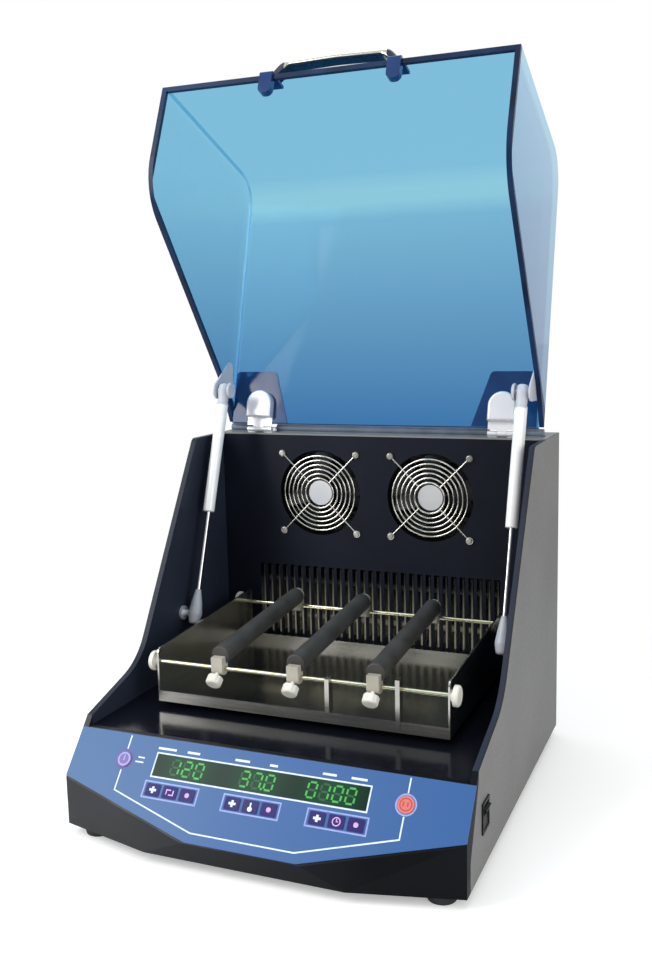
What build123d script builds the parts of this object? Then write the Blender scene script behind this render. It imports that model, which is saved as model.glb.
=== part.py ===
from build123d import *
import math
import os

os.makedirs("parts", exist_ok=True)

# Incubated benchtop shaker with its hood open. Millimetres, +Z up, front at -Y.
# The shapes are drawn from the middle of the cabinet. Saving moves them, so that the
# origin is on the bench under the middle of the machine with its hood open.

# Body
middle_y = 7.4  # middle of the open machine, from the middle of the cabinet
body_half = 225.0  # half of the overall width of the cabinet
foot_height = 12.0
steel = 2.0  # painted side panels
sheet = 1.5  # folded inner sheets
rear_y = 242.0
top_z = 404.5
deck_z = 110.0
deck_thickness = 3.0
liner_inner = 218.3  # half of the chamber's clear width
back_y = 161.0  # face of the chamber's back wall
brow = (-171.5, 120.8)  # front end of the side wall's rim
elbow = (-67.0, 151.0)
shoulder = (87.5, top_z)
elbow_radius = 80.0
shoulder_radius = 10.0

# Front shell and control panel
panel_top = (-180.0, deck_z)
panel_side = (-216.0, 68.0)
chin = (-246.0, 33.0)
chin_half = 62.0
chin_foot_y = -243.5
chin_foot_half = 112.0
shell_wall = 3.0
overlay = 1.2
panel_back_y = -172.0

# Air system
fan_x = 76.2
fan_z = 326.0
fan_size = 120.0
fan_pitch = 105.0
fan_depth = 25.0
fan_bore = 57.0
rotor_radius = 55.0
hub_radius = 19.0
guard_wire = 1.1
guard_rings = (20.0, 26.0, 32.0, 38.0, 44.0, 50.0)
slot_count = 30
slot_pitch = 11.3
slot_width = 7.0
slot_bottom = 125.0
slot_top = 225.0

# Hood, in its open position
hood_half = 217.3
tint = 6.0  # thickness of the tinted sheets
hinge_axis = (172.0, 409.0)
hood_heel = (181.0, 415.0)
hood_crease = (269.7, 744.8)
hood_rim = (38.6, 834.9)
hood_bend = (-13.5, 710.7)
hood_toe = (155.0, 474.0)
crease_radius = 45.0
bend_radius = 75.0
hinge_x = 167.0
hinge_half = 18.0
knuckle_radius = 3.5
pin_radius = 2.0
running = 0.05  # radial clearance of a shaft in its hole
handle_half = 78.0
handle_rise = 22.0
handle_depth = 16.0
handle_inset = 18.0
clip_half = 8.0
clip_drop = 18.0

# Struts
strut_x = 200.0
strut_top = (135.0, 463.6)
strut_foot = (34.0, 184.0)
tube_radius = 7.5
tube_length = 164.0
tube_bore = 6.0
strut_rod_radius = 3.0
stud_radius = 4.0

# Platform
tray_half = 176.0
tray_front = -99.0
tray_rear = 145.0
tray_bottom = 117.4
tray_sheet = 2.0
lip_height = 12.6
wall_front_z = 180.0
wall_rear_z = 192.0
front_rod = (-93.5, 164.0)
rear_rod = (125.0, 180.0)
rod_radius = 2.5
bar_x = (-97.0, -3.0, 91.0)
sleeve_radius = 11.0
clamp_half = 7.0
post_x = (38.0, 119.0)

# Drive
orbit = 10.0  # eccentric throw, a 20 mm orbit
drive_y = 14.0
support_x = 120.0
motor_y = 120.0
pulley_radius = 40.0
motor_pulley_radius = 14.0
pan_top = foot_height + sheet


def outline(corners, plane=Plane.XY):
    # Closed outline; a corner with a third value is rounded by that radius.
    face = Polygon(*[corner[:2] for corner in corners], align=None)
    for corner in corners:
        if len(corner) > 2:
            nearest = face.vertices().sort_by_distance((corner[0], corner[1], 0))[0]
            face = fillet(nearest, corner[2])
    return plane * face


def prism(corners, plane, thickness):
    return extrude(outline(corners, plane), amount=thickness, dir=plane.z_dir)


def side_prism(corners, x_low, x_high):
    # Outline in Y and Z, extruded along X.
    return prism(corners, Plane.YZ.offset(x_low), x_high - x_low)


def box(x, y, z):
    # Block between two limits on each axis.
    centre = Pos((x[0] + x[1]) / 2, (y[0] + y[1]) / 2, (z[0] + z[1]) / 2)
    return centre * Box(x[1] - x[0], y[1] - y[0], z[1] - z[0])


def rod_x(x_low, x_high, y, z, radius):
    return Pos((x_low + x_high) / 2, y, z) * Rot(0, 90, 0) * Cylinder(radius, x_high - x_low)


def rod_y(y_low, y_high, x, z, radius):
    return Pos(x, (y_low + y_high) / 2, z) * Rot(90, 0, 0) * Cylinder(radius, y_high - y_low)


def rod_z(z_low, z_high, x, y, radius):
    return Pos(x, y, (z_low + z_high) / 2) * Cylinder(radius, z_high - z_low)


def both_sides(shape):
    return [shape, mirror(shape, about=Plane.YZ)]


def save(name, shape):
    solids = [Pos(0, -middle_y, 0) * solid for solid in (shape if isinstance(shape, list) else [shape])]
    export_step(solids[0] if len(solids) == 1 else Compound(solids), f"parts/{name}.step")


# ---------------------------------------------------------------- body sheets
rim_line = [brow, (*elbow, elbow_radius), (*shoulder, shoulder_radius)]
panel_line = [(-203, foot_height), (-203, 42), (-172, deck_z)] + rim_line
panel_line += [(rear_y, top_z), (rear_y, foot_height)]
right_panel = side_prism(panel_line, body_half - steel, body_half)
left_panel = mirror(right_panel, about=Plane.YZ)

switch_y, switch_z = -148.0, 66.0
switch_cut = box((210, 230), (switch_y - 11, switch_y + 11), (switch_z - 14, switch_z + 14))
save("right_side_panel", right_panel - switch_cut)
save("left_side_panel", left_panel)

# The liners are trays of sheet, open towards the side panels.
liner_line = [(-171.5, deck_z - deck_thickness)] + rim_line
liner_line += [(back_y, top_z), (back_y, deck_z - deck_thickness)]
liner_face = outline(liner_line, Plane.YZ.offset(liner_inner))
liner_depth = body_half - steel - liner_inner
liner = extrude(liner_face, amount=liner_depth, dir=(1, 0, 0))
hollow = offset(outline(liner_line), amount=-sheet, kind=Kind.INTERSECTION)
hollow = Plane.YZ.offset(liner_inner + sheet) * hollow
right_liner = liner - extrude(hollow, amount=liner_depth, dir=(1, 0, 0))
save("right_liner", right_liner)
save("left_liner", mirror(right_liner, about=Plane.YZ))

deck = box((-liner_inner, liner_inner), (panel_back_y, back_y), (deck_z - deck_thickness, deck_z))
deck -= rod_z(deck_z - 5, deck_z + 5, 0, drive_y, 28)
for x in (-support_x, support_x):
    deck -= rod_z(deck_z - 5, deck_z + 5, x, drive_y, 16)
save("deck", deck)

cover_z = top_z - sheet
inner_half = body_half - steel
save("top_cover", box((-inner_half, inner_half), (back_y, rear_y), (cover_z, top_z)))

rear_panel = box((-inner_half, inner_half), (rear_y - sheet, rear_y), (pan_top, cover_z))
inlet_x, inlet_z = 150.0, 60.0
rear_panel -= box((inlet_x - 14, inlet_x + 14), (230, 250), (inlet_z - 10.5, inlet_z + 10.5))
for row in range(2):
    for column in range(9):
        vent_x = -180 + 45 * column
        vent_z = 300 + 50 * row
        rear_panel -= box((vent_x - 14, vent_x + 14), (230, 250), (vent_z - 2.5, vent_z + 2.5))
screw_radius = 2.0
rear_screws = [(x, z) for x in (-212, 212) for z in (40, 210, 390)]
for x, z in rear_screws:
    rear_panel -= rod_y(230, 250, x, z, screw_radius + 0.2)
save("rear_panel", rear_panel)

# Base pan with an upturned edge and air slots.
pan_front = [(-222, -212), (-110, -239), (110, -239), (222, -212)]
pan_corners = [(-222, rear_y - 4)] + pan_front + [(222, rear_y - 4)]
base_pan = prism(pan_corners, Plane.XY.offset(foot_height), sheet)
pan_edge = 18.0
for shape in both_sides(box((220.5, 222), (-165, rear_y - 4), (pan_top, pan_top + pan_edge))):
    base_pan += shape
base_pan += box((-218, 218), (rear_y - 5.5, rear_y - 4), (pan_top, pan_top + pan_edge))
for row in range(6):
    vent_y = -60 + 12 * row
    base_pan -= box((-190, -140), (vent_y - 2.5, vent_y + 2.5), (0, 20))
save("base_pan", base_pan)

foot = Pos(0, 0, foot_height / 2) * Cone(14.5, 17, foot_height)
foot = fillet(foot.faces().sort_by(Axis.Z)[0].edges(), 1.5)
foot_places = [(x, y) for x in (-196, 196) for y in (-200, 214)]
save("feet", [Pos(x, y, 0) * foot for x, y in foot_places])

# ---------------------------------------------------------------- chamber back
chamber_back = box((-liner_inner, liner_inner), (back_y, back_y + sheet), (deck_z - 3, cover_z))
chamber_back += box((-liner_inner, liner_inner), (back_y, back_y + 18), (cover_z - sheet, cover_z))
fan_centres = (-fan_x, fan_x)
half_pitch = fan_pitch / 2
fan_screws = [
    (cx + sx * half_pitch, fan_z + sz * half_pitch)
    for cx in fan_centres
    for sx in (-1, 1)
    for sz in (-1, 1)
]
for cx in fan_centres:
    chamber_back -= rod_y(back_y - 5, back_y + 5, cx, fan_z, fan_bore)
for x, z in fan_screws:
    chamber_back -= rod_y(back_y - 5, back_y + 5, x, z, screw_radius + 0.2)
for index in range(slot_count):
    slot_x = (index - (slot_count - 1) / 2) * slot_pitch
    slot_limits = (slot_x - slot_width / 2, slot_x + slot_width / 2)
    chamber_back -= box(slot_limits, (back_y - 5, back_y + 5), (slot_bottom, slot_top))
save("chamber_back", chamber_back)

# Finned heater behind the slots: two rods through a row of thin fins.
heater_y = (back_y + 5, back_y + 34)
heater = rod_x(-172, 172, back_y + 21, 150, 4) + rod_x(-172, 172, back_y + 21, 200, 4)
for index in range(slot_count):
    fin_x = (index - (slot_count - 1) / 2) * slot_pitch
    heater += box((fin_x - 1, fin_x + 1), heater_y, (128, 222))
for shape in both_sides(box((171, 174), (back_y + sheet, back_y + 34), (125, 225))):
    heater += shape
save("heater", heater)

# ---------------------------------------------------------------- fans
frame_y = (back_y + sheet, back_y + sheet + fan_depth)
frames = []
for cx in fan_centres:
    square = [
        (cx - fan_size / 2, fan_z - fan_size / 2, 8),
        (cx + fan_size / 2, fan_z - fan_size / 2, 8),
        (cx + fan_size / 2, fan_z + fan_size / 2, 8),
        (cx - fan_size / 2, fan_z + fan_size / 2, 8),
    ]
    plane = Plane(origin=(0, frame_y[0], 0), x_dir=(1, 0, 0), z_dir=(0, -1, 0))
    frame = extrude(outline(square, plane), amount=fan_depth, dir=(0, 1, 0))
    frame -= rod_y(frame_y[0] - 1, frame_y[1] + 1, cx, fan_z, fan_bore)
    for angle in (0, 90, 180, 270):
        spoke = box((0, fan_bore + 2), (frame_y[1] - 4, frame_y[1]), (-3, 3))
        frame += Pos(cx, 0, fan_z) * Rot(0, angle + 45, 0) * spoke
    frame += rod_y(frame_y[1] - 4, frame_y[1], cx, fan_z, 22)
    frame -= rod_y(frame_y[1] - 5, frame_y[1] + 1, cx, fan_z, 3 + running)
    for x, z in fan_screws:
        frame -= rod_y(frame_y[0] - 1, frame_y[0] + 10, x, z, screw_radius + 0.2)
    frames.append(frame)
save("fan_frames", frames)


def fan_rotor(cx):
    # Hub with seven pitched blades, its stub shaft running in the frame's bearing.
    hub = rod_y(frame_y[0] + 1, frame_y[1] - 5, cx, fan_z, hub_radius)
    hub = fillet(hub.faces().sort_by(Axis.Y)[0].edges(), 2)
    rotor = hub + rod_y(frame_y[1] - 6, frame_y[1], cx, fan_z, 3)
    blade_mid = (frame_y[0] + frame_y[1] - 4) / 2
    for index in range(7):
        blade = Box(24, 1.8, rotor_radius - hub_radius)
        blade = fillet(blade.edges().filter_by(Axis.Y).sort_by(Axis.Z)[-2:], 6)
        blade = Pos(0, 0, (hub_radius + rotor_radius) / 2 - 1) * Rot(0, 0, 38) * blade
        rotor += Pos(cx, blade_mid, fan_z) * Rot(0, index * 360 / 7, 0) * blade
    return rotor


save("fan_rotor_left", fan_rotor(-fan_x))
save("fan_rotor_right", fan_rotor(fan_x))

# Wire finger guards: rings welded to four arms that end in screw eyes.
guard_y = back_y - guard_wire
arm_end = half_pitch * math.sqrt(2)
guards = []
for cx in fan_centres:
    guard = None
    for radius in guard_rings:
        ring = Rot(90, 0, 0) * Torus(radius, guard_wire)
        guard = ring if guard is None else guard + ring
    for quarter in range(4):
        arm = rod_x(guard_rings[0], arm_end - 3.5, 0, 0, guard_wire)
        eye = Pos(arm_end, 0, 0) * Rot(90, 0, 0) * Cylinder(4.6, 2 * guard_wire)
        eye -= Pos(arm_end, 0, 0) * Rot(90, 0, 0) * Cylinder(screw_radius + 0.2, 5)
        guard += Rot(0, 45 + 90 * quarter, 0) * (arm + eye)
    guards.append(Pos(cx, guard_y, fan_z) * guard)
save("fan_guards", guards)

# Pan-head screws: through the guards into the fan frames, and round the rear panel.
head_radius = 3.8
screws = []
for x, z in fan_screws:
    face = guard_y - guard_wire
    head = rod_y(face - 2.2, face, x, z, head_radius)
    head = fillet(head.faces().sort_by(Axis.Y)[0].edges(), 1.2)
    screws.append(head + rod_y(face, face + 9, x, z, screw_radius))
for x, z in rear_screws:
    head = rod_y(rear_y, rear_y + 2.2, x, z, head_radius)
    head = fillet(head.faces().sort_by(Axis.Y)[-1].edges(), 1.2)
    screws.append(head + rod_y(rear_y - 5, rear_y, x, z, screw_radius))
save("screws", screws)

# ---------------------------------------------------------------- front shell
slope = (panel_top[1] - panel_side[1]) / (panel_top[0] - panel_side[0])
panel_normal = Vector(0, -slope, 1).normalized()
panel_plane = Plane(origin=(0, *panel_top), x_dir=(1, 0, 0), z_dir=panel_normal)


def slope_length(point):
    return math.dist(panel_top, point)


def prow(inset, foot_z, back):
    # Faceted wedge: the sloping panel face over a nose that bulges in the middle.
    half = body_half - inset
    nose = chin_half - 0.3 * inset
    nose_foot = chin_foot_half - 0.3 * inset
    edge_y = panel_side[0] + inset
    top = (panel_top[0] + inset - inset / slope, panel_top[1] - inset)
    right = {
        "back_foot": (half, back, foot_z),
        "side_foot": (half, edge_y, foot_z),
        "nose_foot": (nose_foot, chin_foot_y + inset, foot_z),
        "side_edge": (half, edge_y, panel_side[1]),
        "nose_edge": (nose, chin[0] + inset, chin[1]),
        "top_edge": (half, *top),
        "back_top": (half, back, top[1]),
    }
    left = {name: (-x, y, z) for name, (x, y, z) in right.items()}
    faces = []
    for side in (right, left):
        faces.append([side[n] for n in ("back_foot", "side_foot", "side_edge", "top_edge", "back_top")])
        faces.append([side[n] for n in ("side_foot", "nose_foot", "side_edge")])
        faces.append([side[n] for n in ("nose_foot", "nose_edge", "side_edge")])
    for chain in (
        ("nose_foot", "nose_edge"),
        ("top_edge", "side_edge", "nose_edge"),
        ("top_edge", "back_top"),
        ("back_foot", "side_foot", "nose_foot"),
        ("back_foot", "back_top"),
    ):
        faces.append([right[n] for n in chain] + [left[n] for n in reversed(chain)])
    return Solid(Shell([Face(Wire.make_polygon([Vector(*p) for p in f])) for f in faces]))


shell = prow(0, foot_height, panel_back_y) - prow(shell_wall, foot_height - 1, panel_back_y + 12)
above = panel_plane.offset(-overlay) * Pos(0, 0, 30) * Box(600, 400, 60)
shell -= above
tip = [(-171.5, deck_z - 2), brow, panel_top, (-178, deck_z - 2)]
for shape in both_sides(side_prism(tip, liner_inner, body_half)):
    shell += shape
window = (121.0, 17.3, 40.6)  # half width, top and bottom down the slope
window_mid = -(window[1] + window[2]) / 2
opening = panel_plane * Pos(0, -31, -6) * Box(400, 46, 16)
shell -= opening
shell -= right_panel
shell -= left_panel

half_line = [(body_half, 0), (body_half, -slope_length(panel_side)), (chin_half, -slope_length(chin))]
panel_corners = half_line + [(-x, y) for x, y in reversed(half_line)]
key_y = -28.5
key_x = 160.0
key_radius = 8.8
panel = prism(panel_corners, panel_plane.offset(-overlay), overlay)
panel -= panel_plane * Pos(0, window_mid, 0) * Box(2 * window[0], window[2] - window[1], 10)
for x in (-key_x, key_x):
    panel -= panel_plane * Pos(x, key_y, 0) * Cylinder(key_radius + 0.1, 10)
save("control_panel", panel)
save("front_shell", shell - panel)

lens = Pos(0, window_mid, -1.7) * Box(2 * window[0], window[2] - window[1], 4.6)
save("display_window", panel_plane * lens)

pads = []
for cluster in (-94, 0, 94):
    for step in (-20.5, 0, 20.5):
        pad = extrude(RectangleRounded(17, 13, 1.5), amount=0.6)
        pads.append(panel_plane * Pos(cluster + step, -55.5, 0) * pad)
save("keypad", pads)

board = Pos(0, -36, -15.2) * Box(380, 50, 1.6)
for x in (-82, 0, 82):
    board += Pos(x, window_mid, -9.7) * Box(64, 20, 9.4)
for x in (-key_x, key_x):
    board += Pos(x, key_y, -12.4) * Cylinder(3.5, 4.2)
for x in (-185, -120, 120, 185):
    board += Pos(x, -58, -9.3) * Cylinder(2.5, 10.2)
save("control_board", panel_plane * board)


def push_key(x):
    # Round cap in the overlay, with a retaining flange and a plunger to its switch.
    key = Pos(0, 0, -1.1) * Cylinder(key_radius, 4.2)
    key = fillet(key.faces().sort_by(Axis.Z)[-1].edges(), 0.5)
    key += Pos(0, 0, -2.6) * Cylinder(key_radius + 2, 1.8)
    key += Pos(0, 0, -6) * Cylinder(3, 6)
    return panel_plane * Pos(x, key_y, 0) * key


save("power_key", push_key(-key_x))
save("start_stop_key", push_key(key_x))

# ---------------------------------------------------------------- mains switch and inlet
switch_body = box((225, 226.8), (switch_y - 13, switch_y + 13), (switch_z - 16, switch_z + 16))
switch_body += box((204, 225), (switch_y - 11, switch_y + 11), (switch_z - 14, switch_z + 14))
switch_body -= box((208, 230), (switch_y - 9.5, switch_y + 9.5), (switch_z - 13, switch_z + 13))
pivot_x = 218.0
switch_body -= rod_y(switch_y - 10.7, switch_y + 10.7, pivot_x, switch_z, 1.5 + running)
save("switch_body", switch_body)

rocker_line = [(-7, -10), (10, -10.8), (7.5, 0), (10, 10.8), (-7, 10)]
rocker_plane = Plane(origin=(0, 9, 0), x_dir=(1, 0, 0), z_dir=(0, -1, 0))
rocker = prism(rocker_line, rocker_plane, 18) + rod_y(-10.5, 10.5, 0, 0, 1.5)
save("rocker", Pos(pivot_x, switch_y, switch_z) * Rot(0, 10, 0) * rocker)

flange = box((inlet_x - 25, inlet_x + 25), (rear_y, rear_y + 2.5), (inlet_z - 14, inlet_z + 14))
inlet = fillet(flange.edges().filter_by(Axis.Y), 5)
inlet += box((inlet_x - 14, inlet_x + 14), (rear_y - 24, rear_y), (inlet_z - 10.5, inlet_z + 10.5))
inlet -= box((inlet_x - 12, inlet_x + 12), (rear_y - 15, rear_y + 5), (inlet_z - 8, inlet_z + 8))
for dx, dz in ((-7, -2), (0, 2), (7, -2)):
    inlet += box((inlet_x + dx - 1, inlet_x + dx + 1), (rear_y - 16, rear_y - 1), (inlet_z + dz - 2, inlet_z + dz + 2))
save("mains_inlet", inlet)

supply = box((-160, -50), (196, 236), (pan_top, 100))
for index in range(9):
    groove = -152 + 12 * index
    supply -= box((groove - 2, groove + 2), (194, 198), (34, 86))
supply += box((-150, -60), (190, 196), (88, 96))
save("power_supply", supply)

# ---------------------------------------------------------------- hood
hood_up = Vector(0, hood_crease[0] - hood_heel[0], hood_crease[1] - hood_heel[1]).normalized()
hood_plane = Plane(origin=(0, *hinge_axis), x_dir=(1, 0, 0), z_dir=Vector(1, 0, 0).cross(hood_up))


def inward(a, b, distance):
    # Offset of the line from a to b to its left-hand side.
    length = math.dist(a, b)
    step = (-(b[1] - a[1]) / length * distance, (b[0] - a[0]) / length * distance)
    return (a[0] + step[0], a[1] + step[1]), (b[0] + step[0], b[1] + step[1])


def crossing(first, second):
    (x1, y1), (x2, y2) = first
    (x3, y3), (x4, y4) = second
    bottom = (x1 - x2) * (y3 - y4) - (y1 - y2) * (x3 - x4)
    a = x1 * y2 - y1 * x2
    b = x3 * y4 - y3 * x4
    return (a * (x3 - x4) - (x1 - x2) * b) / bottom, (a * (y3 - y4) - (y1 - y2) * b) / bottom


back_inner = inward(hood_heel, hood_crease, tint)
top_inner = inward(hood_crease, hood_rim, tint)
inner_crease = crossing(back_inner, top_inner)
bent_line = [
    hood_heel,
    (*hood_crease, crease_radius),
    hood_rim,
    top_inner[1],
    (*inner_crease, crease_radius - tint),
    back_inner[0],
]
inner_hood = hood_half - tint
save("hood_shell", side_prism(bent_line, -inner_hood, inner_hood))

cheek_line = [
    (hood_heel[0], hood_heel[1] + 2),
    (*hood_crease, crease_radius),
    hood_rim,
    (*hood_bend, bend_radius),
    (*hood_toe, 8),
]
cheek = side_prism(cheek_line, inner_hood, hood_half)
save("hood_right_cheek", cheek)
save("hood_left_cheek", mirror(cheek, about=Plane.YZ))

# Corner gussets on the inside of the back sheet, under the hinge leaves.
sheet_face = hood_plane.to_local_coords(Vector(0, *back_inner[0])).Z
gusset_thickness = 2.0
gusset_line = [(127, 9), (209, 9), (209, 79, 6), (149, 79, 6)]
gusset = prism(gusset_line, hood_plane.offset(sheet_face), gusset_thickness)
save("hood_gussets", both_sides(gusset))

# Hinges: the leaf on the hood carries the middle knuckle, the leaf on the cover the outer two.
# A domed cap covers the screws of the leaf on the hood.
leaf = 1.5
leaf_face = sheet_face + gusset_thickness
cap_depth = 10.0
middle_half = 6.0
dome_base = 34.0
cap_foot = 15.0
upper_leaves = []
lower_leaves = []
for side in (-1, 1):
    cx = side * hinge_x
    plate_line = [(-hinge_half, 5), (hinge_half, 5), (hinge_half, dome_base), (-hinge_half, dome_base)]
    plate = extrude(outline(plate_line) + Pos(0, dome_base) * Circle(hinge_half), amount=leaf)
    cap_line = [(-hinge_half, cap_foot), (hinge_half, cap_foot), (hinge_half, dome_base), (-hinge_half, dome_base)]
    cap = extrude(outline(cap_line) + Pos(0, dome_base) * Circle(hinge_half), amount=leaf + cap_depth)
    plate += fillet(cap.faces().sort_by(Axis.Z)[-1].edges(), 3)
    plate = hood_plane.offset(leaf_face) * Pos(cx, 0, 0) * plate
    plate += hood_plane * Pos(cx, 3, leaf_face + leaf / 2) * Box(2 * middle_half, 6, leaf)
    plate += rod_x(cx - middle_half, cx + middle_half, *hinge_axis, knuckle_radius)
    plate -= rod_x(cx - middle_half - 1, cx + middle_half + 1, *hinge_axis, pin_radius + running)
    upper_leaves.append(plate)

    lower = box((cx - hinge_half, cx + hinge_half), (hinge_axis[0] + 4.6, 216), (top_z, top_z + leaf))
    lower = fillet(lower.edges().filter_by(Axis.Z).sort_by(Axis.Y)[-2:], 6)
    for end in (-1, 1):
        inner = cx + end * (middle_half + 0.3)
        outer = cx + end * hinge_half
        span = (min(inner, outer), max(inner, outer))
        lower += box(span, (hinge_axis[0] - 1, hinge_axis[0] + 6), (top_z, top_z + leaf))
        lower += rod_x(*span, *hinge_axis, knuckle_radius)
        lower += box(span, (hinge_axis[0] - 1, hinge_axis[0] + knuckle_radius), (top_z, hinge_axis[1]))
    lower += rod_x(cx - hinge_half, cx + hinge_half, *hinge_axis, pin_radius)
    lower_leaves.append(lower)
save("hinge_upper_leaves", upper_leaves)
save("hinge_lower_leaves", lower_leaves)

# Pull handle: a flat arched bar on two moulded clips that wrap the rim.
top_dir = Vector(0, hood_crease[0] - hood_rim[0], hood_crease[1] - hood_rim[1]).normalized()
clip_sheet = 3.0
clip_nose = 6.0  # how far the clip's drop reaches in under the top sheet
clip_line = [
    (handle_inset + 12, 0),
    (handle_inset + 12, clip_sheet),
    (-clip_sheet, clip_sheet, 1.5),
    (-clip_sheet, -tint - clip_drop),
    (clip_nose, -tint - clip_drop),
    (clip_nose, -tint),
    (0, -tint),
    (0, 0),
]
clip_plane = Plane(origin=(-clip_half, *hood_rim), x_dir=top_dir, z_dir=(1, 0, 0))
clip = extrude(outline(clip_line), amount=2 * clip_half)
drop_corners = clip.faces().sort_by(Axis.Y)[0].edges().filter_by(Axis.X)
clip = clip_plane * fillet(drop_corners, clip_half - 1)
clips = [Pos(x, 0, 0) * clip for x in (-handle_half, handle_half)]
save("handle_clips", clips)

# The bar's outline, seen along the top sheet; x across the hood, y away from the sheet.
bar_outer = [
    (handle_half + 6, 0),
    (handle_half - 12, handle_rise - 2, 16),
    (0, handle_rise, 300),
    (12 - handle_half, handle_rise - 2, 16),
    (-handle_half - 6, 0),
]
bar_inner = [
    (6 - handle_half, 0),
    (20 - handle_half, handle_rise - 8.5, 10),
    (0, handle_rise - 7, 300),
    (handle_half - 20, handle_rise - 8.5, 10),
    (handle_half - 6, 0),
]
rim_up = Vector(1, 0, 0).cross(top_dir)
bar_foot = Vector(0, *hood_rim) + top_dir * (handle_inset + handle_depth / 2) + rim_up * clip_sheet
bar_plane = Plane(origin=bar_foot, x_dir=(1, 0, 0), z_dir=-top_dir)
handle = extrude(outline(bar_outer + bar_inner), amount=handle_depth)
long_edges = [edge for edge in handle.edges() if edge.bounding_box().size.Z < 1 and edge.center().Y > 0.5]
handle = fillet(long_edges, 2.5)
save("hood_handle", bar_plane * handle)

# Brackets on the cheeks for the upper ends of the struts: a plate that reaches forward,
# a pin through the strut's eye and a domed cap on the pin.
plate_in = inner_hood - gusset_thickness
bracket_places = [(*strut_top, 11.0), (172.0, 492.0, 7.0), (172.0, 458.0, 7.0)]
lobes = Sketch() + [Pos(y, z) * Circle(radius) for y, z, radius in bracket_places]
bracket = extrude(Plane.YZ.offset(plate_in) * make_hull(lobes.edges()), amount=gusset_thickness, dir=(1, 0, 0))
bracket += rod_x(plate_in - 1, plate_in, *strut_top, 7)
eye_half = 8.0  # half thickness of the eyes of the struts
bracket += rod_x(strut_x - eye_half - 1, plate_in, *strut_top, stud_radius)
pin_cap = rod_x(strut_x - eye_half - 4, strut_x - eye_half - 0.5, *strut_top, 10.5)
bracket += fillet(pin_cap.faces().sort_by(Axis.X)[0].edges(), 2.5)
save("hood_stud_plates", both_sides(bracket))

# ---------------------------------------------------------------- struts
strut_length = math.dist(strut_top, strut_foot)
strut_down = Vector(0, strut_foot[0] - strut_top[0], strut_foot[1] - strut_top[1]).normalized()
strut_plane = Plane(origin=(strut_x, *strut_top), x_dir=(1, 0, 0), z_dir=strut_down)


def socket(end, length, neck):
    # Pear-shaped moulded end round the pivot, narrowing towards the strut.
    half_section = [(0, -end), (6.5, -end, 4), (8.8, 0, 5), (7, length * 0.45, 8), (neck, length), (0, length)]
    body = revolve(outline(half_section, Plane.XZ), Axis.Z)
    return body & Box(2 * eye_half, 30, 4 * length)


tube_start = 17.0
bore_start = 27.0
tube = Pos(0, 0, (tube_start + tube_length) / 2) * Cylinder(tube_radius, tube_length - tube_start)
tube = fillet(tube.edges().filter_by(GeomType.CIRCLE), 1.5)
bore_end = tube_length - 12
tube -= Pos(0, 0, (bore_start + bore_end) / 2) * Cylinder(tube_bore, bore_end - bore_start)
tube -= Pos(0, 0, tube_length - 10) * Cylinder(strut_rod_radius + running, 24)
tube += socket(9, 22, 6)
tube -= rod_x(-20, 20, 0, 0, stud_radius + running)
tube = strut_plane * tube

piston_z = tube_length - 30
rod = Pos(0, 0, (piston_z + strut_length - 20) / 2) * Cylinder(strut_rod_radius, strut_length - 20 - piston_z)
rod += Pos(0, 0, piston_z + 4) * Cylinder(tube_bore - running, 8)
rod += Pos(0, 0, strut_length) * Rot(180, 0, 0) * socket(13, 31, 3.6)
rod = strut_plane * rod

wall_stud = rod_x(liner_inner - 3, liner_inner, *strut_foot, 9)
wall_stud += rod_x(strut_x + eye_half + 0.5, liner_inner - 3, *strut_foot, stud_radius)
save("strut_tube_right", tube)
save("strut_tube_left", mirror(tube, about=Plane.YZ))
save("strut_rod_right", rod)
save("strut_rod_left", mirror(rod, about=Plane.YZ))
save("strut_wall_studs", both_sides(wall_stud))

# ---------------------------------------------------------------- platform
floor_top = tray_bottom + tray_sheet
tray = box((-tray_half, tray_half), (tray_front, tray_rear), (tray_bottom, floor_top))
for y in (tray_front, tray_rear - tray_sheet):
    tray += box((-tray_half, tray_half), (y, y + tray_sheet), (tray_bottom, tray_bottom + lip_height))
wall_line = [
    (tray_front, tray_bottom),
    (tray_front, wall_front_z, 6),
    (tray_rear, wall_rear_z, 6),
    (tray_rear, tray_bottom),
]
for shape in both_sides(side_prism(wall_line, tray_half - tray_sheet, tray_half)):
    tray += shape
for y, z in (front_rod, rear_rod):
    tray -= rod_x(-200, 200, y, z, rod_radius + 0.1)
save("tray", tray)

save("tray_rods", [rod_x(-tray_half - 7, tray_half + 7, y, z, rod_radius) for y, z in (front_rod, rear_rod)])

knobs = []
for y, z in (front_rod, rear_rod):
    end_knob = rod_x(tray_half, tray_half + 4, y, z, 6) + rod_x(tray_half + 3.5, tray_half + 9.5, y, z, 11.5)
    end_knob = fillet(end_knob.faces().sort_by(Axis.X)[-1].edges(), 2.5)
    end_knob -= rod_x(tray_half - 1, tray_half + 7, y, z, rod_radius)
    knobs += both_sides(end_knob)
save("rod_knobs", knobs)

posts = []
for x, low, high in ((post_x[0], 130, 168), (post_x[1], 124, 176)):
    post = box((x - 2.5, x + 2.5), (tray_front - 2, tray_front), (low, tray_bottom + lip_height + 6))
    post += box((x - 2.5, x + 2.5), (tray_front - 2, front_rod[0] + 4), (tray_bottom + lip_height, high))
    post -= rod_x(x - 5, x + 5, *front_rod, rod_radius + 0.1)
    posts.append(post)
save("rod_posts", posts)

# Cross bars: a rubber sleeve with a moulded cap, and a clamp block on each rod.
bar_lift = rod_radius + sleeve_radius
bar_front = Vector(0, front_rod[0], front_rod[1] + bar_lift)
bar_rear = Vector(0, rear_rod[0], rear_rod[1] + bar_lift)
bar_dir = (bar_rear - bar_front).normalized()
knob_axis = Vector(0, -0.77, -0.64).normalized()
knob_plane = Plane(origin=(0, *front_rod), x_dir=(1, 0, 0), z_dir=knob_axis)


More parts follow.
